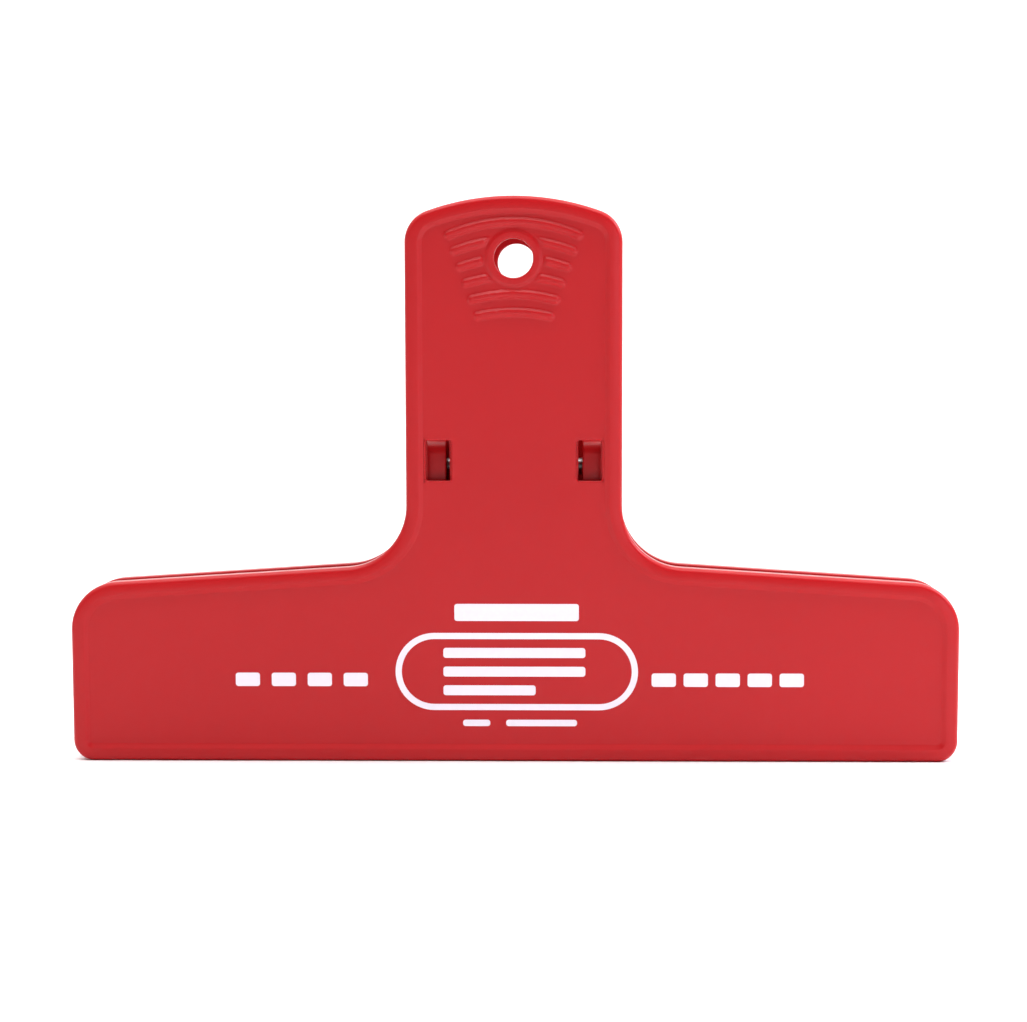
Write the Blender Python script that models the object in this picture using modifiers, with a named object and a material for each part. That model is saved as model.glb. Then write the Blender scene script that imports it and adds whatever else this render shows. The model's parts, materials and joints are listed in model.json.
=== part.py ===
"""T-shaped spring clamp for loose papers: two moulded levers, a hinge pin and a torsion spring."""

import math

import bmesh
import bpy
from mathutils import Matrix, Vector

MM = 0.001

# Outline of a lever, seen from the front, in millimetres from the jaw's foot.
JAW_WIDTH = 150.0
HEIGHT = 95.3
STEM_WIDTH = 36.3
WING_HEIGHT = 34.95
WING_SLOPE = math.radians(3.7)
FOOT_CORNER = 3.5
WING_CORNER = 8.2
STEM_FILLET = 10.5
STEM_CORNER = 5.5
CROWN_RADIUS = 43.0

# Section of a lever, measured inwards from its edge and outwards from the clip's middle.
LEAN = math.tan(math.radians(6.0))
LIP_BACK = 0.5
CAVITY_FLOOR = 3.0
PANEL_LEVEL = 4.5
OUTER_FACE = 5.0
WALL = 2.2
BORDER = 2.7
EDGE_ROUND = 1.0

# Jaw teeth.
TOOTH_PITCH = 2.1
TOOTH_DEPTH = 0.35
TOOTH_GAP = 0.15
TOOTH_COUNT = 68
LIP_BOTTOM = 0.15
LIP_TOP = 1.9

# Handle: hang hole with its boss, and arched finger ribs.
HOLE_HEIGHT = 84.95
HOLE_RADIUS = 3.25
BOSS_RADIUS = 4.6
BOSS_LEVEL = 4.75
RIB_COUNT = 6
RIB_TOP = 91.0
RIB_PITCH = 3.0
RIB_HALF_WIDTH = 11.7
RIB_TAPER = 1.04
RIB_CURVE = 27.0
RIB_RADIUS = 0.65
RIB_LEVEL = 4.3
RIB_STEPS = 8

# Hinge.
PIVOT_HEIGHT = 50.0
PIN_RADIUS = 1.45
PIN_HALF_LENGTH = 14.5
PIN_CHAMFER = 0.3
BORE_RADIUS = 1.55
LUG_NOSE = 7.0
LUG_HALF_HEIGHT = 4.6
LUG_CORNER = 2.5
LUG_REACH = 7.0
FRONT_LUG = 9.45
FRONT_LUG_WIDTH = 2.7
REAR_LUG = 13.1
REAR_LUG_WIDTH = 3.3
ROUND_STEPS = 24
WINDOW_WIDTH = 4.3
WINDOW_HEIGHT = 6.8
WINDOW_RISE = 1.2
FRONT_WINDOW = 12.65
REAR_WINDOW = 7.9

# Torsion spring and the seats that hold its legs.
WIRE_RADIUS = 0.75
COIL_RADIUS = 3.6
COIL_HALF_LENGTH = 5.2
COIL_TURNS = 6
STEPS_PER_TURN = 16
LEG_REST = 20.0
LEG_TIP = 25.0
LEG_GAP = 0.15
SEAT_WIDTH = 1.0
SEAT_GAP = 0.3
SEAT_LEVEL = 1.6

RED_PLASTIC = (0.56, 0.032, 0.040, 1.0)
SPRING_STEEL = (0.52, 0.53, 0.54, 1.0)
PIN_STEEL = (0.62, 0.62, 0.62, 1.0)


def clear_scene():
    for obj in list(bpy.data.objects):
        bpy.data.objects.remove(obj, do_unlink=True)


def new_collection(name):
    collection = bpy.data.collections.new(name)
    bpy.context.scene.collection.children.link(collection)
    return collection


def material(name, color, roughness, metallic):
    mat = bpy.data.materials.new(name)
    mat.use_nodes = True
    shader = mat.node_tree.nodes["Principled BSDF"]
    shader.inputs["Base Color"].default_value = color
    shader.inputs["Roughness"].default_value = roughness
    shader.inputs["Metallic"].default_value = metallic
    return mat


def arc(center, radius, start, end, steps):
    """Points of a round corner in X and Z, from one angle to another."""
    angles = [start + (end - start) * i / steps for i in range(steps + 1)]
    return [(center[0] + radius * math.cos(a), center[1] + radius * math.sin(a)) for a in angles]


def wing_level(x):
    return WING_HEIGHT - x * math.tan(WING_SLOPE)


def lever_outline(inset):
    """The T outline, moved inwards by an inset; every corner keeps its centre."""
    half_jaw = JAW_WIDTH / 2
    half_stem = STEM_WIDTH / 2
    slope = 1 / math.cos(WING_SLOPE)
    square = math.pi / 2
    foot = (half_jaw - FOOT_CORNER, FOOT_CORNER)
    wing_x = half_jaw - WING_CORNER
    wing = (wing_x, wing_level(wing_x) - WING_CORNER * slope)
    fillet_x = half_stem + STEM_FILLET
    fillet = (fillet_x, wing_level(fillet_x) + STEM_FILLET * slope)
    crown = (0.0, HEIGHT - CROWN_RADIUS)
    corner_x = half_stem - STEM_CORNER
    corner_rise = math.sqrt((CROWN_RADIUS - STEM_CORNER) ** 2 - corner_x ** 2)
    corner = (corner_x, crown[1] + corner_rise)
    crown_start = math.atan2(corner_rise, corner_x)
    half = arc(foot, FOOT_CORNER - inset, -square, 0.0, 4)
    half += arc(wing, WING_CORNER - inset, 0.0, square - WING_SLOPE, 5)
    half += arc(fillet, STEM_FILLET + inset, 3 * square - WING_SLOPE, math.pi, 6)
    half += arc(corner, STEM_CORNER - inset, 0.0, crown_start, 4)
    half += arc(crown, CROWN_RADIUS - inset, crown_start, square, 4)[1:]
    return half + [(-x, z) for x, z in reversed(half[:-1])]


def prism(points, low, high, frame):
    """A closed prism of an outline between two heights, placed by a matrix, as a mesh."""
    curve = bpy.data.curves.new("outline", "CURVE")
    curve.dimensions = "2D"
    curve.fill_mode = "BOTH"
    curve.extrude = (high - low) / 2
    spline = curve.splines.new("POLY")
    spline.points.add(len(points) - 1)
    for point, (u, v) in zip(spline.points, points):
        point.co = (u, v, 0.0, 1.0)
    spline.use_cyclic_u = True
    return curve_mesh(curve, frame @ Matrix.Translation((0.0, 0.0, (low + high) / 2)))


def curve_mesh(curve, frame):
    """The closed mesh of a curve, with its caps welded."""
    source = bpy.data.objects.new("outline", curve)
    bpy.context.scene.collection.objects.link(source)
    depsgraph = bpy.context.evaluated_depsgraph_get()
    mesh = bpy.data.meshes.new_from_object(source.evaluated_get(depsgraph))
    bpy.data.objects.remove(source)
    bpy.data.curves.remove(curve)
    work = bmesh.new()
    work.from_mesh(mesh)
    bmesh.ops.remove_doubles(work, verts=work.verts, dist=0.001)
    work.transform(frame)
    bmesh.ops.recalc_face_normals(work, faces=work.faces)
    work.to_mesh(mesh)
    work.free()
    return mesh


def box(center, size):
    work = bmesh.new()
    placing = Matrix.Translation(center) @ Matrix.Diagonal((*size, 1.0))
    bmesh.ops.create_cube(work, size=1.0, matrix=placing)
    return finished(work)


def cylinder(center, radius, length, turn):
    """A closed cylinder whose axis is turned away from Z by a rotation matrix."""
    work = bmesh.new()
    bmesh.ops.create_cone(work, cap_ends=True, segments=ROUND_STEPS, radius1=radius,
                          radius2=radius, depth=length, matrix=Matrix.Translation(center) @ turn)
    return finished(work)


def finished(work):
    mesh = bpy.data.meshes.new("shape")
    work.to_mesh(mesh)
    work.free()
    return mesh


def joined(meshes):
    """Several closed meshes that stay clear of each other, as one mesh."""
    work = bmesh.new()
    for mesh in meshes:
        work.from_mesh(mesh)
        bpy.data.meshes.remove(mesh)
    return finished(work)


# A lever is modelled facing -Y with its pivot at the origin. FACING stands an outline up, and
# LEANING pushes every level back by its height, so that the jaw's foot stays flat.
FACING = Matrix.Rotation(math.pi / 2, 4, "X")
LEANING = Matrix(((1, 0, 0, 0), (0, 1, -LEAN, 0), (0, 0, 1, -PIVOT_HEIGHT), (0, 0, 0, 1)))
ALONG_X = Matrix.Rotation(math.pi / 2, 4, "Y")


def slab(inset, near, far):
    return prism(lever_outline(inset), near, far, LEANING @ FACING)


def leaning_box(center, size):
    """A box whose depth is measured from the clip's middle, leaning with its lever."""
    mesh = box((center[0], -center[1], center[2]), size)
    mesh.transform(LEANING)
    return mesh


def face_depth(level, height):
    """How far a level of the lever stands in front of the clip's middle, at a height."""
    return level + height * LEAN


def lever_body():
    """The solid T block with its outer edge rounded."""
    mesh = slab(0.0, LIP_BACK, OUTER_FACE)
    work = bmesh.new()
    work.from_mesh(mesh)
    bpy.data.meshes.remove(mesh)
    rim = []
    for edge in work.edges:
        levels = [-v.co.y - (v.co.z + PIVOT_HEIGHT) * LEAN for v in edge.verts]
        on_face = min(levels) > OUTER_FACE - 0.01
        if on_face and edge.calc_face_angle() > math.radians(60):
            rim.append(edge)
    bmesh.ops.bevel(work, geom=rim, offset=EDGE_ROUND, segments=2, profile=0.5, affect="EDGES")
    return finished(work)


def finger_ribs():
    """Arched ribs that narrow downwards and stop short of the boss round the hang hole."""
    meshes = []
    clearance = BOSS_RADIUS + RIB_RADIUS + 0.2
    for row in range(RIB_COUNT):
        crest = RIB_TOP - row * RIB_PITCH
        half_width = RIB_HALF_WIDTH - row * RIB_TAPER
        offset = crest - HOLE_HEIGHT
        inner = 0.0
        if abs(offset) < clearance:
            inner = math.sqrt(clearance ** 2 - offset ** 2)
        spans = [(-half_width, -inner), (inner, half_width)] if inner else [(-half_width, half_width)]
        meshes += [finger_rib(crest, *span) for span in spans]
    return meshes


def finger_rib(crest, start, end):
    curve = bpy.data.curves.new("rib", "CURVE")
    curve.dimensions = "3D"
    curve.bevel_depth = RIB_RADIUS
    curve.bevel_resolution = 2
    curve.use_fill_caps = True
    spline = curve.splines.new("POLY")
    spline.points.add(RIB_STEPS)
    for i, point in enumerate(spline.points):
        x = start + (end - start) * i / RIB_STEPS
        drop = RIB_CURVE - math.sqrt(RIB_CURVE ** 2 - x ** 2)
        point.co = (x, -RIB_LEVEL, crest - drop, 1.0)
    return curve_mesh(curve, LEANING)


def hang_boss():
    depth = BOSS_LEVEL - CAVITY_FLOOR - 0.5
    mesh = cylinder((0.0, -(BOSS_LEVEL - depth / 2), HOLE_HEIGHT), BOSS_RADIUS, depth, FACING)
    mesh.transform(LEANING)
    return mesh


def lug(x, width):
    """A flat ear that reaches from inside the lever's plate to the hinge axis."""
    root = CAVITY_FLOOR + 0.5
    low = -face_depth(root, PIVOT_HEIGHT - LUG_REACH)
    high = -face_depth(root, PIVOT_HEIGHT + LUG_REACH)
    across = LUG_NOSE - LUG_CORNER
    up = LUG_HALF_HEIGHT - LUG_CORNER
    nose = arc((across, -up), LUG_CORNER, -math.pi / 2, 0.0, 4)
    nose += arc((across, up), LUG_CORNER, 0.0, math.pi / 2, 4)
    outline = nose + [(high, LUG_REACH), (low, -LUG_REACH)]
    facing_x = Matrix(((0, 0, 1, x), (1, 0, 0, 0), (0, 1, 0, 0), (0, 0, 0, 1)))
    return prism(outline, -width / 2, width / 2, facing_x)


def leg_seat():
    """Two short ribs inside the handle that keep the spring's leg in place."""
    middle = PIVOT_HEIGHT + (LEG_REST + LEG_TIP) / 2
    reach = WIRE_RADIUS + SEAT_GAP + SEAT_WIDTH / 2
    size = (SEAT_WIDTH, SEAT_LEVEL + 0.5, LEG_TIP - LEG_REST + 3.0)
    level = CAVITY_FLOOR + 0.5 - size[1] / 2
    return [leaning_box((-COIL_HALF_LENGTH + side * reach, level, middle), size) for side in (-1, 1)]


def tooth_strip(sign):
    """The lip's toothed edge; the other lever's strip has the opposite sign and meshes with it."""
    edge = []
    for i in range(2 * TOOTH_COUNT + 1):
        swing = TOOTH_DEPTH if i % 2 else -TOOTH_DEPTH
        x = (i - TOOTH_COUNT) * TOOTH_PITCH / 2
        edge.append((x, -TOOTH_GAP + sign * swing))
    back = -LIP_BACK - 0.4
    outline = edge + [(edge[-1][0], back), (edge[0][0], back)]
    return prism(outline, LIP_BOTTOM, LIP_TOP, Matrix.Translation((0.0, 0.0, -PIVOT_HEIGHT)))


def hollow():
    """What is taken from the block: the cavity behind it and the recessed panel in front."""
    cavity = slab(WALL, LIP_BACK - 1.0, CAVITY_FLOOR)
    panel = slab(BORDER, PANEL_LEVEL, OUTER_FACE + 1.0)
    return joined([cavity, panel])


def additions(lugs, tooth_sign):
    meshes = finger_ribs() + leg_seat()
    meshes.append(hang_boss())
    meshes.append(tooth_strip(tooth_sign))
    x, width = lugs
    meshes += [lug(x, width), lug(-x, width)]
    return joined(meshes)


def openings(window_x):
    """The hang hole, the pin's bore and the two windows."""
    depth = 2 * OUTER_FACE
    plate_middle = (CAVITY_FLOOR + OUTER_FACE) / 2
    hole = cylinder((0.0, -plate_middle, HOLE_HEIGHT), HOLE_RADIUS, depth, FACING)
    hole.transform(LEANING)
    bore = cylinder((0.0, 0.0, 0.0), BORE_RADIUS, STEM_WIDTH - 2 * WALL - 2.0, ALONG_X)
    size = (WINDOW_WIDTH, 3.4, WINDOW_HEIGHT)
    height = PIVOT_HEIGHT + WINDOW_RISE
    windows = [leaning_box((x, plate_middle, height), size) for x in (-window_x, window_x)]
    return joined([hole, bore] + windows)


def add_object(name, mesh, collection):
    obj = bpy.data.objects.new(name, mesh)
    collection.objects.link(obj)
    return obj


def combine(obj, mesh, operation, cutters):
    cutter = add_object(f"{obj.name}_{operation.lower()}_{len(obj.modifiers)}", mesh, cutters)
    cutter.display_type = "WIRE"
    cutter.hide_render = True
    cutter.parent = obj
    modifier = obj.modifiers.new(operation.title(), "BOOLEAN")
    modifier.operation = operation
    modifier.solver = "EXACT"
    modifier.object = cutter


def place(obj, turn):
    """Millimetres to metres, with the part's origin on the hinge axis."""
    obj.location = (0.0, 0.0, PIVOT_HEIGHT * MM)
    obj.rotation_euler = (0.0, 0.0, turn)


def in_metres(mesh):
    mesh.transform(Matrix.Scale(MM, 4))
    return mesh


def build_lever(name, turn, lugs, window_x, tooth_sign, plastic, parts, cutters):
    lever = add_object(name, in_metres(lever_body()), parts)
    lever.data.materials.append(plastic)
    place(lever, turn)
    combine(lever, in_metres(hollow()), "DIFFERENCE", cutters)
    combine(lever, in_metres(additions(lugs, tooth_sign)), "UNION", cutters)
    combine(lever, in_metres(openings(window_x)), "DIFFERENCE", cutters)


def build_pin(steel, parts):
    pin = add_object("hinge_pin", cylinder((0, 0, 0), PIN_RADIUS, 2 * PIN_HALF_LENGTH, ALONG_X), parts)
    in_metres(pin.data)
    pin.data.materials.append(steel)
    place(pin, 0.0)
    chamfer = pin.modifiers.new("Chamfer", "BEVEL")
    chamfer.width = PIN_CHAMFER * MM
    chamfer.segments = 1
    chamfer.limit_method = "ANGLE"
    chamfer.angle_limit = math.radians(60)
    pin.data.shade_smooth()
    pin.data.set_sharp_from_angle(angle=math.radians(35))


def spring_path():
    """Front leg, coil and rear leg of the spring, round the hinge axis."""
    legs = []
    for reach in (LEG_REST, LEG_TIP):
        depth = face_depth(CAVITY_FLOOR, PIVOT_HEIGHT + reach) - WIRE_RADIUS - LEG_GAP
        legs.append((depth, reach))
    rest = Vector(legs[0])
    leg_lean = math.atan2(rest.x, rest.y) - math.asin(COIL_RADIUS / rest.length)
    start = math.pi + leg_lean
    sweep = 2 * math.pi * COIL_TURNS - math.pi - 2 * leg_lean
    steps = round(sweep / (2 * math.pi) * STEPS_PER_TURN)
    path = [(-COIL_HALF_LENGTH, -depth, reach) for depth, reach in reversed(legs)]
    for i in range(steps + 1):
        angle = start + sweep * i / steps
        x = COIL_HALF_LENGTH * (2 * i / steps - 1)
        path.append((x, COIL_RADIUS * math.cos(angle), COIL_RADIUS * math.sin(angle)))
    path += [(COIL_HALF_LENGTH, depth, reach) for depth, reach in legs]
    return path


def build_spring(steel, parts):
    curve = bpy.data.curves.new("torsion_spring", "CURVE")
    curve.dimensions = "3D"
    curve.bevel_depth = WIRE_RADIUS * MM
    curve.bevel_resolution = 2
    curve.use_fill_caps = True
    spline = curve.splines.new("POLY")
    path = spring_path()
    spline.points.add(len(path) - 1)
    for point, position in zip(spline.points, path):
        point.co = (*(value * MM for value in position), 1.0)
    spline.use_smooth = True
    spring = add_object("torsion_spring", curve, parts)
    spring.data.materials.append(steel)
    place(spring, 0.0)


def main():
    clear_scene()
    parts = new_collection("spring_paper_clamp")
    cutters = new_collection("cutters")
    plastic = material("red_plastic", RED_PLASTIC, 0.28, 0.0)
    front_lugs = (FRONT_LUG, FRONT_LUG_WIDTH)
    rear_lugs = (REAR_LUG, REAR_LUG_WIDTH)
    build_lever("front_lever", 0.0, front_lugs, FRONT_WINDOW, 1, plastic, parts, cutters)
    build_lever("rear_lever", math.pi, rear_lugs, REAR_WINDOW, -1, plastic, parts, cutters)
    build_pin(material("pin_steel", PIN_STEEL, 0.25, 1.0), parts)
    build_spring(material("spring_steel", SPRING_STEEL, 0.3, 1.0), parts)


main()
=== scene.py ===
"""The looks of a T-shaped spring paper clamp: glossy red levers, steel pin and spring, white print."""

import json
import math

import bmesh
import bpy
from mathutils import Matrix, Vector
from mathutils.geometry import delaunay_2d_cdt


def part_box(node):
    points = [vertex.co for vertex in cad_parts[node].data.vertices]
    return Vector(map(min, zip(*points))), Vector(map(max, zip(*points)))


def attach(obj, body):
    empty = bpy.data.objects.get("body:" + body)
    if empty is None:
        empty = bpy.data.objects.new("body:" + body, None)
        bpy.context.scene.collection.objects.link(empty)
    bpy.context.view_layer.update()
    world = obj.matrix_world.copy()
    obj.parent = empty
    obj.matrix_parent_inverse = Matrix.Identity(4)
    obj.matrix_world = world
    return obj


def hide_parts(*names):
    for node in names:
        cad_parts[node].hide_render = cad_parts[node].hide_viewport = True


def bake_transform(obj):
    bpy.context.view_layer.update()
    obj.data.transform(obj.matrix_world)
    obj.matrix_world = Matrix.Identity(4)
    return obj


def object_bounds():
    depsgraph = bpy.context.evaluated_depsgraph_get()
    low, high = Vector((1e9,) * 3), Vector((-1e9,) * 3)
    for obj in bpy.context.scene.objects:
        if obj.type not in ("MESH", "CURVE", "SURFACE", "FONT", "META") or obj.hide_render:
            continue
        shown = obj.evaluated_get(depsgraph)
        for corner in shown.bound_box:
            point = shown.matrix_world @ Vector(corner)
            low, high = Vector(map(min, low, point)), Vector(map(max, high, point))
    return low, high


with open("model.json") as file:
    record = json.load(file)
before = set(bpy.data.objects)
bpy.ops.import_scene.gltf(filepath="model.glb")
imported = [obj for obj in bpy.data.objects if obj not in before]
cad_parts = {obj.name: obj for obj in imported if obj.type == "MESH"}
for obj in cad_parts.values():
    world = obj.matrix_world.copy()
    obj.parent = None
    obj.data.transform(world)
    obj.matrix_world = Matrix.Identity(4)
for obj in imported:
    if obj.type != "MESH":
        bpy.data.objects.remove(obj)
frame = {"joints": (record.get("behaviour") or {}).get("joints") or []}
CAD_BOX = [list(corner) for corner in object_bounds()]

# Every size below is in millimetres. The outline is seen from the front, from the jaw's foot up.
MM = 0.001
LOW, HIGH = CAD_BOX
JAW_WIDTH = (HIGH[0] - LOW[0]) / MM
HEIGHT = HIGH[2] / MM
PIVOT = frame["joints"][0]["pos_m"][2] / MM
STEM_WIDTH = 36.3
WING_HEIGHT = 34.95
WING_SLOPE = math.radians(3.7)
FOOT_CORNER = 3.5
WING_CORNER = 8.2
STEM_FILLET = 10.5
STEM_CORNER = 5.5
CROWN_RADIUS = 43.0

# Levels across a lever, outwards from the clip's middle, and the lean of its plate.
LEAN = math.tan(math.radians(6.0))
LIP_BACK = 0.5
CAVITY_FLOOR = 3.0
PANEL_LEVEL = 4.5
OUTER_FACE = 5.0
WALL = 2.2
BORDER = 2.9
EDGE_ROUND = 1.0
CROWN_RISE = 0.14
CROWN_TILT = math.radians(14)
BEAD_TOP = 2.0
BEAD_SLOPE = math.radians(33)
BEAD_ROUND = 0.16
FOOT_ROUND = 0.25
BEAD_SETBACK = 0.1
CAVITY_ROUND = 0.7
WALL_DRAFT = 0.2
RIM_INNER_ROUND = 0.15
RIM_OUTER_ROUND = 0.3

# Jaw teeth.
TOOTH_PITCH = 2.1
TOOTH_DEPTH = 0.35
TOOTH_GAP = 0.15
TOOTH_COUNT = 68
POINTS_PER_TOOTH = 8
LIP_BOTTOM = 0.06
LIP_TOP = 1.95

# Hang hole, boss and finger ribs.
HOLE_HEIGHT = 84.95
HOLE_RADIUS = 3.25
HOLE_EDGE = 0.4
HOLE_STEPS = 72
BOSS_RADIUS = 4.6
BOSS_RISE = 0.25
RELIEF_EDGE = 0.34
RIB_COUNT = 6
RIB_TOP = 91.0
RIB_PITCH = 3.0
RIB_HALF_WIDTH = 11.7
RIB_TAPER = 1.02
RIB_CURVE = 27.0
RIB_HALF_THICKNESS = 0.55
RIB_RISE = 0.48
RELIEF_STEP = 0.19
RELIEF_BORDER = 1.6

# Hinge.
PIN_RADIUS = (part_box("hinge_pin")[1].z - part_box("hinge_pin")[0].z) / MM / 2
PIN_HALF_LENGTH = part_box("hinge_pin")[1].x / MM
BORE_RADIUS = 1.55
LUG_NOSE = 7.0
LUG_HALF_HEIGHT = 4.6
LUG_CORNER = 2.5
LUG_REACH = 7.0
LUG_EDGE = 0.25
# How far what stands inside a lever is sunk into its plate.
SUNK = 0.5
# Middle and width of the lugs of each lever.
FRONT_LUG = (9.45, 2.7)
REAR_LUG = (13.1, 3.3)
WINDOW_WIDTH = 4.3
WINDOW_HEIGHT = 6.8
WINDOW_MIDDLE = PIVOT + 1.2
WINDOW_CORNER = 0.45
WINDOW_EDGE = 0.25
FRONT_WINDOW = 12.65
REAR_WINDOW = 7.9

# Torsion spring and the seats that hold its legs.
WIRE_RADIUS = 0.75
COIL_RADIUS = 3.6
COIL_HALF_LENGTH = 5.2
COIL_TURNS = 6
STEPS_PER_TURN = 44
LEG_REST = 20.0
LEG_TIP = 25.0
LEG_GAP = 0.15
SEAT_WIDTH = 1.0
SEAT_SPARE = 3.0
SEAT_EDGE = 0.2
SEAT_GAP = 0.3
SEAT_LEVEL = 1.6

# Print on the front panel: each bar as its middle, width and height.
INK = 0.03
PRINT_CORNER = 0.45
HEADING = ((0.4, 25.5), 21.0, 2.9)
FOOTING = [((-6.4, 6.6), 4.6, 1.1), ((4.6, 6.6), 12.0, 1.1)]
BADGE_LINES = [((0.0, 18.6), 24.0, 1.7), ((0.0, 15.4), 24.0, 1.7), ((-4.2, 12.2), 15.6, 1.7)]
# First dash, pitch and number of the dashes on each wing.
DASHES = [(-45.15, 6.1, 4), (25.25, 5.4, 5)]
DASH_LEVEL = 14.0
DASH_LENGTH = 4.1
DASH_HEIGHT = 2.3
BADGE_MIDDLE = (0.4, 15.4)
BADGE_SIZE = (41.0, 13.2)
BADGE_RIM = 1.05

SQUARE = math.pi / 2
ROUND_STEPS = 48

# Edges that turn more than this are shaded sharp.
PLASTIC_CREASE = 35
WIRE_CREASE = 40

# Flat strip kept beside every rounded edge, so that sheets start flat.
MARGIN = 0.3


# ---------------------------------------------------------------- outlines

def arc(center, radius, start, end, steps):
    angles = [start + (end - start) * i / steps for i in range(steps + 1)]
    return [(center[0] + radius * math.cos(a), center[1] + radius * math.sin(a)) for a in angles]


def circle(center, radius, steps):
    return arc(center, radius, 0.0, 2 * math.pi, steps)[:-1]


def rounded_box(center, width, height, corner, steps=6):
    """A rectangle with round corners, anticlockwise."""
    points = []
    for turn, (sx, sz) in enumerate(((1, -1), (1, 1), (-1, 1), (-1, -1))):
        middle = (center[0] + sx * (width / 2 - corner), center[1] + sz * (height / 2 - corner))
        points += arc(middle, corner, (turn - 1) * SQUARE, turn * SQUARE, steps)
    return points


def wing_level(x):
    return WING_HEIGHT - x * math.tan(WING_SLOPE)


def lever_outline(inset):
    """The T outline, moved inwards by an inset; every corner keeps its centre."""
    half_jaw = JAW_WIDTH / 2
    slope = 1 / math.cos(WING_SLOPE)
    foot = (half_jaw - FOOT_CORNER, FOOT_CORNER)
    wing_x = half_jaw - WING_CORNER
    wing = (wing_x, wing_level(wing_x) - WING_CORNER * slope)
    fillet_x = STEM_WIDTH / 2 + STEM_FILLET
    fillet = (fillet_x, wing_level(fillet_x) + STEM_FILLET * slope)
    crown = (0.0, HEIGHT - CROWN_RADIUS)
    corner_x = STEM_WIDTH / 2 - STEM_CORNER
    corner_rise = math.sqrt((CROWN_RADIUS - STEM_CORNER) ** 2 - corner_x ** 2)
    crown_start = math.atan2(corner_rise, corner_x)
    half = arc(foot, FOOT_CORNER - inset, -SQUARE, 0.0, 10)
    half += arc(wing, WING_CORNER - inset, 0.0, SQUARE - WING_SLOPE, 18)
    half += arc(fillet, STEM_FILLET + inset, 3 * SQUARE - WING_SLOPE, math.pi, 20)
    half += arc((corner_x, crown[1] + corner_rise), STEM_CORNER - inset, 0.0, crown_start, 12)
    half += arc(crown, CROWN_RADIUS - inset, crown_start, SQUARE, 16)[1:]
    return half + [(-x, z) for x, z in reversed(half[:-1])]


def smooth(t):
    t = min(max(t, 0.0), 1.0)
    return t * t * (3 - 2 * t)


def rim_section():
    """The lever's edge as (inset, level) pairs, from its cavity round the rim to its panel."""
    corner = WALL + WALL_DRAFT + CAVITY_ROUND
    floor_edge = corner + 0.2
    section = [(floor_edge + MARGIN, CAVITY_FLOOR), (floor_edge, CAVITY_FLOOR)]
    section += arc((corner, CAVITY_FLOOR - CAVITY_ROUND), CAVITY_ROUND, SQUARE, math.pi, 5)
    section += arc((WALL - RIM_INNER_ROUND, LIP_BACK + RIM_INNER_ROUND), RIM_INNER_ROUND, 0.0, -SQUARE, 3)
    section += arc((RIM_OUTER_ROUND, LIP_BACK + RIM_OUTER_ROUND), RIM_OUTER_ROUND, -SQUARE, -math.pi, 4)
    shoulder = OUTER_FACE - CROWN_RISE
    section += arc((EDGE_ROUND, shoulder - EDGE_ROUND), EDGE_ROUND, math.pi, SQUARE + CROWN_TILT, 9)
    crown_steps = 4
    for i in range(1, crown_steps + 1):
        across = i / crown_steps
        inset = EDGE_ROUND + (BEAD_TOP - EDGE_ROUND) * across
        section.append((inset, OUTER_FACE - CROWN_RISE * (1 - across) ** 2))
    bead = (BEAD_TOP + BEAD_SETBACK, OUTER_FACE - BEAD_ROUND)
    section += arc(bead, BEAD_ROUND, SQUARE, SQUARE - BEAD_SLOPE, 4)[1:]
    foot = (BORDER + BEAD_SETBACK, PANEL_LEVEL + FOOT_ROUND)
    section += arc(foot, FOOT_ROUND, 3 * SQUARE - BEAD_SLOPE, 3 * SQUARE, 4)
    section.append((foot[0] + MARGIN, PANEL_LEVEL))
    return section


# ---------------------------------------------------------------- meshes

class Shell:
    """Points (x, level, height) and faces of a lever, welded and placed at the end."""

    def __init__(self):
        self.points = []
        self.faces = []

    def loft(self, rings):
        """Quads between closed rings that have the same number of points."""
        first = len(self.points)
        count = len(rings[0])
        for ring in rings:
            self.points += ring
        for r in range(len(rings) - 1):
            for i in range(count):
                j = (i + 1) % count
                a = first + r * count
                b = a + count
                self.faces.append((a + i, a + j, b + j, b + i))

    def plate(self, outline, low, high):
        """A closed flat plate."""
        first = len(self.points)
        count = len(outline)
        self.loft([ring(outline, low), ring(outline, high)])
        self.faces.append(tuple(range(first + count - 1, first - 1, -1)))
        self.faces.append(tuple(range(first + count, first + 2 * count)))

    def cap(self, outlines, extra, level, holes):
        """A sheet of triangles inside the first outline; holes(x, z) is true where it is open."""
        flat = []
        edges = []
        for outline in outlines:
            start = len(flat)
            flat += outline
            edges += [(start + i, start + (i + 1) % len(outline)) for i in range(len(outline))]
        flat += extra
        found = delaunay_2d_cdt([Vector(p) for p in flat], edges, [], 1, 1e-6)
        first = len(self.points)
        self.points += [(p.x, level(p.x, p.y), p.y) for p in found[0]]
        for face in found[2]:
            middle = sum((found[0][i] for i in face), Vector((0, 0))) / len(face)
            if not holes(middle.x, middle.y):
                self.faces.append(tuple(first + i for i in face))

    def mesh(self, name):
        work = bmesh.new()
        verts = [work.verts.new((x, -(level + z * LEAN), z)) for x, level, z in self.points]
        for face in self.faces:
            work.faces.new([verts[i] for i in face])
        bmesh.ops.remove_doubles(work, verts=work.verts, dist=1e-3)
        bmesh.ops.recalc_face_normals(work, faces=work.faces)
        return finished(work, name)


def finished(work, name="shape"):
    mesh = bpy.data.meshes.new(name)
    work.to_mesh(mesh)
    work.free()
    return mesh


def ring(outline, level):
    return [(x, level, z) for x, z in outline]


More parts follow.
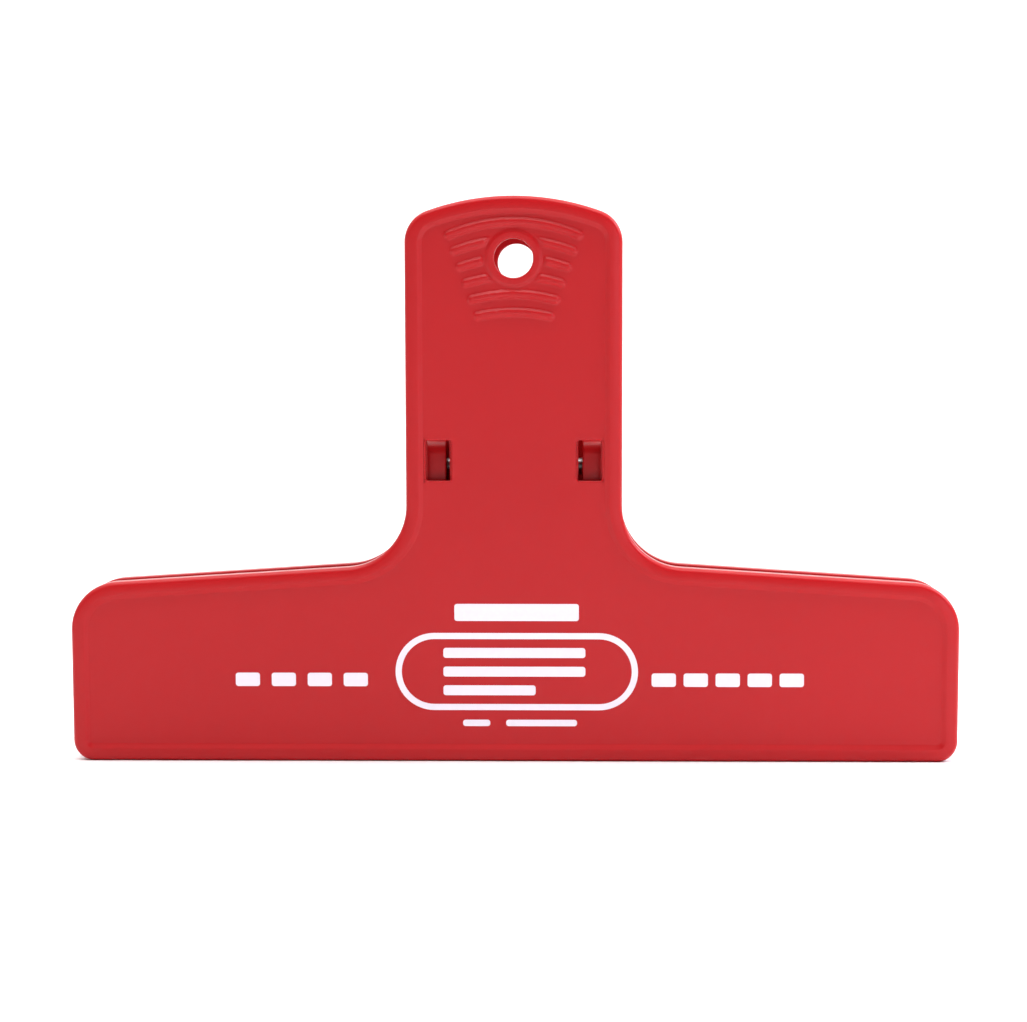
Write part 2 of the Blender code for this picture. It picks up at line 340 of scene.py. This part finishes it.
def extruded(outline, low, high, frame_matrix, edge=0.0):
    """A closed prism of an outline, with its edges rounded, placed by a matrix."""
    work = bmesh.new()
    floor = [work.verts.new((u, v, low)) for u, v in outline]
    roof = [work.verts.new((u, v, high)) for u, v in outline]
    work.faces.new(floor[::-1])
    work.faces.new(roof)
    for i in range(len(outline)):
        j = (i + 1) % len(outline)
        work.faces.new((floor[i], floor[j], roof[j], roof[i]))
    bmesh.ops.recalc_face_normals(work, faces=work.faces)
    if edge:
        sharp = [e for e in work.edges if e.calc_face_angle() > math.radians(40)]
        bmesh.ops.bevel(work, geom=sharp, offset=edge, segments=3, profile=0.5, affect="EDGES")
    work.transform(frame_matrix)
    bmesh.ops.recalc_face_normals(work, faces=work.faces)
    return finished(work)


def joined(meshes):
    work = bmesh.new()
    for mesh in meshes:
        work.from_mesh(mesh)
        bpy.data.meshes.remove(mesh)
    return finished(work)


def add_piece(name, mesh):
    piece = bpy.data.objects.new(name, mesh)
    bpy.context.scene.collection.objects.link(piece)
    return piece


def combined(mesh, other, operation):
    """The result of an exact boolean between two closed meshes."""
    base = add_piece("base", mesh)
    cutter = add_piece("cutter", other)
    modifier = base.modifiers.new("combine", "BOOLEAN")
    modifier.operation = operation
    modifier.solver = "EXACT"
    modifier.object = cutter
    depsgraph = bpy.context.evaluated_depsgraph_get()
    result = bpy.data.meshes.new_from_object(base.evaluated_get(depsgraph))
    for obj in (base, cutter):
        old = obj.data
        bpy.data.objects.remove(obj)
        bpy.data.meshes.remove(old)
    return result


def shade(mesh, angle):
    mesh.shade_smooth()
    mesh.set_sharp_from_angle(angle=math.radians(angle))


def flatten(mesh, normal, level):
    """Shade the faces in one plane flat, so that what stands on it leaves no false shading."""
    for polygon in mesh.polygons:
        lies_in_plane = abs(polygon.center.dot(normal) - level) < 0.01
        if lies_in_plane and abs(polygon.normal.dot(normal)) > 0.9999:
            polygon.use_smooth = False


# ---------------------------------------------------------------- lever

def rib_distance(x, z, row):
    """Distance from the middle line of a finger rib, which is an arc with round ends."""
    crest = RIB_TOP - row * RIB_PITCH
    half_angle = (RIB_HALF_WIDTH - row * RIB_TAPER - RIB_HALF_THICKNESS) / RIB_CURVE
    across = x
    up = z - (crest - RIB_CURVE)
    angle = math.atan2(across, up)
    nearest = min(max(angle, -half_angle), half_angle)
    return math.hypot(across - RIB_CURVE * math.sin(nearest), up - RIB_CURVE * math.cos(nearest))


def relief(x, z):
    """Level of the outer panel, with its finger ribs and the boss round the hang hole."""
    from_hole = math.hypot(x, z - HOLE_HEIGHT)
    boss = BOSS_RISE * smooth((BOSS_RADIUS + RELIEF_EDGE - from_hole) / (2 * RELIEF_EDGE))
    clear = smooth((from_hole - BOSS_RADIUS - RELIEF_EDGE) / (2 * RELIEF_EDGE))
    nearest = min(rib_distance(x, z, row) for row in range(RIB_COUNT))
    edge = (RIB_HALF_THICKNESS + RELIEF_EDGE - nearest) / (2 * RELIEF_EDGE)
    return PANEL_LEVEL + max(boss, RIB_RISE * smooth(edge) * clear)


def relief_grid():
    """A dense grid of points over the finger ribs, for their relief."""
    points = []
    half_width = RIB_HALF_WIDTH + RELIEF_BORDER
    low = RIB_TOP - RIB_COUNT * RIB_PITCH - RELIEF_BORDER
    high = RIB_TOP + RELIEF_BORDER
    columns = round(2 * half_width / RELIEF_STEP)
    rows = round((high - low) / RELIEF_STEP)
    for i in range(columns + 1):
        for j in range(rows + 1):
            x = -half_width + 2 * half_width * i / columns
            z = low + (high - low) * j / rows
            if math.hypot(x, z - HOLE_HEIGHT) > HOLE_RADIUS + HOLE_EDGE + MARGIN + 0.1:
                points.append((x, z))
    return points


def window_outline(x, grow):
    size = (WINDOW_WIDTH + 2 * grow, WINDOW_HEIGHT + 2 * grow)
    return rounded_box((x, WINDOW_MIDDLE), *size, WINDOW_CORNER + grow)


def hole_outline(grow):
    return circle((0.0, HOLE_HEIGHT), HOLE_RADIUS + grow, HOLE_STEPS)


def edge_section(outside, edge):
    """(grow, level) pairs through the plate, from its outer face with a round edge to its inside."""
    outer = arc((edge, outside - edge), edge, SQUARE, math.pi, 4)
    inner = arc((edge, CAVITY_FLOOR + edge), edge, math.pi, 3 * SQUARE, 4)
    near, far = edge + 0.1, edge + MARGIN
    return [(far, outside), (near, outside)] + outer + inner + [(near, CAVITY_FLOOR), (far, CAVITY_FLOOR)]


def lever_shell(window_x):
    """The lever's moulding without what stands inside it."""
    shell = Shell()
    section = rim_section()
    shell.loft([ring(lever_outline(inset), level) for inset, level in section])
    for side in (-1, 1):
        window = [ring(window_outline(side * window_x, grow), level)
                  for grow, level in edge_section(PANEL_LEVEL, WINDOW_EDGE)]
        shell.loft(window)
    hole = edge_section(PANEL_LEVEL + BOSS_RISE, HOLE_EDGE)
    shell.loft([ring(hole_outline(grow), level) for grow, level in hole])

    window_grow = WINDOW_EDGE + MARGIN
    hole_grow = HOLE_EDGE + MARGIN

    def is_open(x, z):
        in_hole = math.hypot(x, z - HOLE_HEIGHT) < HOLE_RADIUS + hole_grow
        across = abs(abs(x) - window_x) < WINDOW_WIDTH / 2 + window_grow
        return in_hole or (across and abs(z - WINDOW_MIDDLE) < WINDOW_HEIGHT / 2 + window_grow)

    openings = [window_outline(-window_x, window_grow), window_outline(window_x, window_grow),
                hole_outline(hole_grow)]
    outer = [lever_outline(section[-1][0])] + openings
    inner = [lever_outline(section[0][0])] + openings
    shell.cap(outer, relief_grid(), relief, is_open)
    shell.cap(inner, [], lambda x, z: CAVITY_FLOOR, is_open)
    return shell.mesh("lever")


# Lean an upright mesh, and put a section drawn in (depth, height) across the X axis.
LEANING = Matrix(((1, 0, 0, 0), (0, 1, -LEAN, 0), (0, 0, 1, 0), (0, 0, 0, 1)))


def facing_x(x, height):
    return Matrix(((0, 0, 1, x), (1, 0, 0, 0), (0, 1, 0, height), (0, 0, 0, 1)))


def lug(x, width):
    """A flat ear that reaches from inside the lever's plate to the hinge axis."""
    root = CAVITY_FLOOR + SUNK
    low = -(root + (PIVOT - LUG_REACH) * LEAN)
    high = -(root + (PIVOT + LUG_REACH) * LEAN)
    across = LUG_NOSE - LUG_CORNER
    up = LUG_HALF_HEIGHT - LUG_CORNER
    nose = arc((across, -up), LUG_CORNER, -SQUARE, 0.0, 8) + arc((across, up), LUG_CORNER, 0.0, SQUARE, 8)
    outline = nose + [(high, LUG_REACH), (low, -LUG_REACH)]
    return extruded(outline, -width / 2, width / 2, facing_x(x, PIVOT), LUG_EDGE)


def leg_seat():
    """Two short ribs inside the handle that keep the spring's leg in place."""
    middle = PIVOT + (LEG_REST + LEG_TIP) / 2
    reach = WIRE_RADIUS + SEAT_GAP + SEAT_WIDTH / 2
    length = LEG_TIP - LEG_REST + SEAT_SPARE
    root = -(CAVITY_FLOOR + SUNK)
    outline = [(root, -length / 2), (-SEAT_LEVEL, -length / 2),
               (-SEAT_LEVEL, length / 2), (root, length / 2)]
    meshes = []
    for side in (-1, 1):
        place = LEANING @ facing_x(-COIL_HALF_LENGTH + side * reach, middle)
        meshes.append(extruded(outline, -SEAT_WIDTH / 2, SEAT_WIDTH / 2, place, SEAT_EDGE))
    return meshes


def tooth_strip(sign):
    """The lip's toothed edge; the other lever's strip has the opposite sign and meshes with it."""
    edge = []
    steps = TOOTH_COUNT * POINTS_PER_TOOTH
    for i in range(steps + 1):
        phase = i / POINTS_PER_TOOTH
        swing = 4 * abs(phase - math.floor(phase + 0.5)) - 1
        rounded = swing * (1.15 - 0.15 * swing * swing)
        edge.append(((phase - TOOTH_COUNT / 2) * TOOTH_PITCH, -TOOTH_GAP + sign * TOOTH_DEPTH * rounded))
    back = -LIP_BACK - 0.4
    outline = edge + [(edge[-1][0], back), (edge[0][0], back)]
    return extruded(outline, LIP_BOTTOM, LIP_TOP, Matrix.Identity(4))


def pin_bore():
    round_hole = circle((0.0, 0.0), BORE_RADIUS, ROUND_STEPS)
    half_length = STEM_WIDTH / 2 - WALL - 1.0
    return extruded(round_hole, -half_length, half_length, facing_x(0.0, PIVOT))


def make_lever(name, body, turn, lugs, window_x, tooth_sign, plastic):
    mesh = lever_shell(window_x)
    x, width = lugs
    extras = leg_seat() + [lug(-x, width), lug(x, width), tooth_strip(tooth_sign)]
    mesh = combined(mesh, joined(extras), "UNION")
    mesh = combined(mesh, pin_bore(), "DIFFERENCE")
    shade(mesh, PLASTIC_CREASE)
    across = Vector((0.0, 1.0, LEAN)).normalized()
    flatten(mesh, across, -CAVITY_FLOOR * across.y)
    mesh.transform(Matrix.Rotation(turn, 4, "Z") @ Matrix.Scale(MM, 4))
    lever = add_piece(name, mesh)
    lever.data.materials.clear()
    lever.data.materials.append(plastic)
    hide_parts(body + "_lever")
    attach(lever, body)


def print_bars():
    """Outlines of the print's plain bars: a heading, a footing, dashes on both wings, badge lines."""
    bars = [HEADING] + FOOTING + BADGE_LINES
    for first, pitch, count in DASHES:
        bars += [((first + i * pitch, DASH_LEVEL), DASH_LENGTH, DASH_HEIGHT) for i in range(count)]
    return [rounded_box(middle, width, height, PRINT_CORNER) for middle, width, height in bars]


def make_print(ink):
    """A thin film of ink on the front lever's panel."""
    film = Shell()
    low, high = PANEL_LEVEL - 0.01, PANEL_LEVEL + INK
    for outline in print_bars():
        film.plate(outline, low, high)
    outer = rounded_box(BADGE_MIDDLE, *BADGE_SIZE, BADGE_SIZE[1] / 2, 16)
    size = [side - 2 * BADGE_RIM for side in BADGE_SIZE]
    inner = rounded_box(BADGE_MIDDLE, *size, size[1] / 2, 16)
    section = [(outer, low), (outer, high), (inner, high), (inner, low), (outer, low)]
    film.loft([ring(outline, level) for outline, level in section])
    mesh = film.mesh("print")
    mesh.transform(Matrix.Scale(MM, 4))
    marks = add_piece("print", mesh)
    marks.data.materials.append(ink)
    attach(marks, "front")


# ---------------------------------------------------------------- hinge

def make_pin(steel):
    """The pin, a cut length of wire with rounded ends."""
    tip = 0.35
    profile = [(0.0, PIN_HALF_LENGTH)]
    profile += arc((PIN_RADIUS - tip, PIN_HALF_LENGTH - tip), tip, SQUARE, 0.0, 5)
    profile += [(r, -h) for r, h in reversed(profile)]
    work = bmesh.new()
    verts = [work.verts.new((h, r, 0.0)) for r, h in profile]
    for a, b in zip(verts, verts[1:]):
        work.edges.new((a, b))
    bmesh.ops.spin(work, geom=work.verts[:] + work.edges[:], axis=(1, 0, 0), cent=(0, 0, 0),
                   angle=2 * math.pi, steps=ROUND_STEPS, use_merge=True)
    bmesh.ops.remove_doubles(work, verts=work.verts, dist=1e-4)
    bmesh.ops.recalc_face_normals(work, faces=work.faces)
    mesh = finished(work)
    mesh.transform(Matrix.Scale(MM, 4) @ Matrix.Translation((0, 0, PIVOT)))
    shade(mesh, WIRE_CREASE)
    pin = add_piece("pin", mesh)
    pin.data.materials.append(steel)
    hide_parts("hinge_pin")
    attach(pin, "rear")


def spring_path():
    """Front leg, coil and rear leg of the spring, round the hinge axis."""
    legs = []
    for reach in (LEG_REST, LEG_TIP):
        depth = CAVITY_FLOOR + (PIVOT + reach) * LEAN - WIRE_RADIUS - LEG_GAP
        legs.append(Vector((depth, reach)))
    rest, tip = legs
    leg_lean = math.atan2(rest.x, rest.y) - math.asin(COIL_RADIUS / rest.length)
    start = math.pi + leg_lean
    sweep = 2 * math.pi * COIL_TURNS - math.pi - 2 * leg_lean
    steps = round(sweep / (2 * math.pi) * STEPS_PER_TURN)
    leave = Vector((COIL_RADIUS * math.cos(leg_lean), -COIL_RADIUS * math.sin(leg_lean)))
    bend = []
    corner_in = rest.lerp(leave, 0.08)
    corner_out = rest.lerp(tip, 0.32)
    for t in range(7):
        u = t / 6
        bend.append(corner_in * (1 - u) ** 2 + rest * 2 * u * (1 - u) + corner_out * u ** 2)
    leg = [leave.lerp(corner_in, t / 8) for t in range(1, 8)] + bend + [tip]
    path = [(-COIL_HALF_LENGTH, -p.x, p.y) for p in reversed(leg)]
    for i in range(steps + 1):
        angle = start + sweep * i / steps
        x = COIL_HALF_LENGTH * (2 * i / steps - 1)
        path.append((x, COIL_RADIUS * math.cos(angle), COIL_RADIUS * math.sin(angle)))
    path += [(COIL_HALF_LENGTH, p.x, p.y) for p in leg]
    return path


def make_spring(steel):
    curve = bpy.data.curves.new("wire", "CURVE")
    curve.dimensions = "3D"
    curve.bevel_depth = WIRE_RADIUS * MM
    curve.bevel_resolution = 6
    curve.use_fill_caps = True
    spline = curve.splines.new("POLY")
    path = spring_path()
    spline.points.add(len(path) - 1)
    for point, (x, y, z) in zip(spline.points, path):
        point.co = (x * MM, y * MM, (z + PIVOT) * MM, 1.0)
    spline.use_smooth = True
    source = add_piece("wire", curve)
    depsgraph = bpy.context.evaluated_depsgraph_get()
    mesh = bpy.data.meshes.new_from_object(source.evaluated_get(depsgraph))
    bpy.data.objects.remove(source)
    work = bmesh.new()
    work.from_mesh(mesh)
    bmesh.ops.remove_doubles(work, verts=work.verts, dist=1e-6)
    ends = [f for f in work.faces if len(f.verts) > 4]
    rims = [e for f in ends for e in f.edges]
    bmesh.ops.bevel(work, geom=rims, offset=0.15 * MM, segments=2, profile=0.5, affect="EDGES")
    bmesh.ops.recalc_face_normals(work, faces=work.faces)
    mesh = finished(work)
    shade(mesh, WIRE_CREASE)
    spring = add_piece("spring", mesh)
    spring.data.materials.append(steel)
    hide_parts("torsion_spring")
    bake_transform(spring)


# ---------------------------------------------------------------- materials

def new_material(name, color, roughness, metallic=0.0):
    mat = bpy.data.materials.new(name)
    mat.use_nodes = True
    shader = mat.node_tree.nodes["Principled BSDF"]
    shader.inputs["Base Color"].default_value = (*color, 1.0)
    shader.inputs["Roughness"].default_value = roughness
    shader.inputs["Metallic"].default_value = metallic
    return mat, mat.node_tree, shader


def noise(tree, scale, detail, roughness=0.5, stretch=(1, 1, 1)):
    """Noise in object space, in features per metre."""
    coords = tree.nodes.new("ShaderNodeTexCoord")
    mapping = tree.nodes.new("ShaderNodeMapping")
    mapping.inputs["Scale"].default_value = stretch
    texture = tree.nodes.new("ShaderNodeTexNoise")
    texture.inputs["Scale"].default_value = scale
    texture.inputs["Detail"].default_value = detail
    texture.inputs["Roughness"].default_value = roughness
    tree.links.new(coords.outputs["Object"], mapping.inputs["Vector"])
    tree.links.new(mapping.outputs["Vector"], texture.inputs["Vector"])
    return texture.outputs["Fac"]


def ramp(tree, value, low, high, first, last):
    """A value mapped from one range to another."""
    node = tree.nodes.new("ShaderNodeMapRange")
    node.inputs["From Min"].default_value = low
    node.inputs["From Max"].default_value = high
    node.inputs["To Min"].default_value = first
    node.inputs["To Max"].default_value = last
    tree.links.new(value, node.inputs["Value"])
    return node.outputs["Result"]


def mixed(tree, factor, first, second):
    node = tree.nodes.new("ShaderNodeMix")
    node.data_type = "RGBA"
    tree.links.new(factor, node.inputs["Factor"])
    node.inputs["A"].default_value = (*first, 1.0)
    node.inputs["B"].default_value = (*second, 1.0)
    return node.outputs["Result"]


def bump(tree, shader, height, strength, distance):
    node = tree.nodes.new("ShaderNodeBump")
    node.inputs["Strength"].default_value = strength
    node.inputs["Distance"].default_value = distance
    tree.links.new(height, node.inputs["Height"])
    tree.links.new(node.outputs["Normal"], shader.inputs["Normal"])


def red_plastic():
    deep = (0.40, 0.0056, 0.0080)
    light = (0.42, 0.0066, 0.0092)
    mat, tree, shader = new_material("red_plastic", deep, 0.3)
    shader.inputs["IOR"].default_value = 1.46
    shader.inputs["Specular IOR Level"].default_value = 0.26
    flow = noise(tree, 30.0, 2.0)
    tree.links.new(mixed(tree, ramp(tree, flow, 0.3, 0.7, 0.0, 1.0), deep, light),
                   shader.inputs["Base Color"])
    handling = noise(tree, 60.0, 1.0)
    tree.links.new(ramp(tree, handling, 0.3, 0.7, 0.29, 0.33), shader.inputs["Roughness"])
    bump(tree, shader, noise(tree, 420.0, 1.0), 0.1, 0.000006)
    return mat


def white_ink():
    mat, tree, shader = new_material("print_white", (0.76, 0.72, 0.79), 0.45)
    tree.links.new(mixed(tree, noise(tree, 1500.0, 3.0), (0.74, 0.69, 0.77), (0.79, 0.76, 0.83)),
                   shader.inputs["Base Color"])
    return mat


def wire_steel(name, color, roughness):
    mat, tree, shader = new_material(name, color, roughness, 1.0)
    drawn = noise(tree, 2500.0, 3.0, 0.6, (0.08, 1.0, 1.0))
    tree.links.new(ramp(tree, drawn, 0.3, 0.7, roughness - 0.07, roughness + 0.1),
                   shader.inputs["Roughness"])
    dark = tuple(0.8 * c for c in color)
    tree.links.new(mixed(tree, noise(tree, 700.0, 4.0), dark, color), shader.inputs["Base Color"])
    bump(tree, shader, drawn, 0.1, 0.00003)
    return mat


# ---------------------------------------------------------------- stage

def plain(name, color, roughness):
    mat, tree, shader = new_material(name, color, roughness)
    soft = noise(tree, 6.0, 2.0)
    pale = tuple(min(1.0, c * 1.01) for c in color)
    tree.links.new(mixed(tree, soft, color, pale), shader.inputs["Base Color"])
    return mat


def make_stage():
    """A white floor that curves up into a backdrop."""
    half_width, front, back, top, bend = 2.2, -1.6, 1.1, 1.9, 0.5
    section = [(front, 0.0)] + [(back - bend + y, bend + z) for y, z in
                                arc((0.0, 0.0), bend, -SQUARE, 0.0, 24)] + [(back, top)]
    work = bmesh.new()
    left = [work.verts.new((-half_width, y, z)) for y, z in section]
    right = [work.verts.new((half_width, y, z)) for y, z in section]
    for i in range(len(section) - 1):
        work.faces.new((left[i], right[i], right[i + 1], left[i + 1]))
    mesh = finished(work, "floor")
    mesh.shade_smooth()
    floor = add_piece("floor", mesh)
    floor.data.materials.append(plain("floor_white", (0.93, 0.93, 0.93), 0.6))


def area_light(name, place, aim, size, power, color=(1, 1, 1)):
    data = bpy.data.lights.new(name, "AREA")
    data.shape = "RECTANGLE"
    data.size, data.size_y = size
    data.energy = power
    data.color = color
    light = bpy.data.objects.new(name, data)
    light.location = place
    light.rotation_euler = (Vector(aim) - Vector(place)).to_track_quat("-Z", "Y").to_euler()
    bpy.context.scene.collection.objects.link(light)


def make_lights():
    world = bpy.data.worlds.new("studio")
    world.use_nodes = True
    tree = world.node_tree
    background = tree.nodes["Background"]
    background.inputs["Color"].default_value = (1, 1, 1, 1)
    coords = tree.nodes.new("ShaderNodeTexCoord")
    split = tree.nodes.new("ShaderNodeSeparateXYZ")
    tree.links.new(coords.outputs["Generated"], split.inputs["Vector"])
    tree.links.new(ramp(tree, split.outputs["Z"], 0.06, 0.30, 0.80, 0.07), background.inputs["Strength"])
    bpy.context.scene.world = world
    middle = (0, 0, 0.045)
    area_light("key", (0.30, -0.42, 0.05), (0.07, 0.0, 0.015), (0.2, 0.1), 0.2, (0.86, 0.80, 1.0))
    area_light("side", (0.4, 0.0, 0.3), (0.08, -0.08, 0.0), (0.25, 0.25), 2.0, (0.92, 0.88, 1.0))
    area_light("fill", (-0.6, -0.1, 0.4), middle, (0.4, 0.4), 0.7)
    area_light("top", (0.0, -0.085, 0.40), (0, -0.05, 0.0), (0.36, 0.18), 1.0)
    area_light("overhead", (0.0, -0.2, 2.6), (0, -0.2, 0), (5.0, 5.0), 125.0)
    area_light("backdrop", (0.0, 0.35, 0.9), (0, 1.1, 0.35), (1.6, 0.4), 8.0)


def make_camera():
    """Looks along +Y from a little right of the middle and above the jaw, as the photograph does."""
    data = bpy.data.cameras.new("camera")
    data.sensor_width = 36.0
    data.lens = 120.4
    camera = bpy.data.objects.new("camera", data)
    place = Vector((0.0124, -0.585, 0.0676))
    aim = Vector((-0.0001, -0.008, 0.04267))
    camera.location = place
    camera.rotation_euler = (aim - place).to_track_quat("-Z", "Y").to_euler()
    bpy.context.scene.collection.objects.link(camera)
    bpy.context.scene.camera = camera


def main():
    bpy.context.scene.view_settings.view_transform = "Standard"
    plastic = red_plastic()
    make_lever("front_shell", "front", 0.0, FRONT_LUG, FRONT_WINDOW, 1, plastic)
    make_lever("rear_shell", "rear", math.pi, REAR_LUG, REAR_WINDOW, -1, plastic)
    make_print(white_ink())
    make_pin(wire_steel("pin_steel", (0.5, 0.49, 0.48), 0.3))
    make_spring(wire_steel("spring_steel", (0.52, 0.53, 0.54), 0.3))
    make_stage()
    make_lights()
    make_camera()


main()
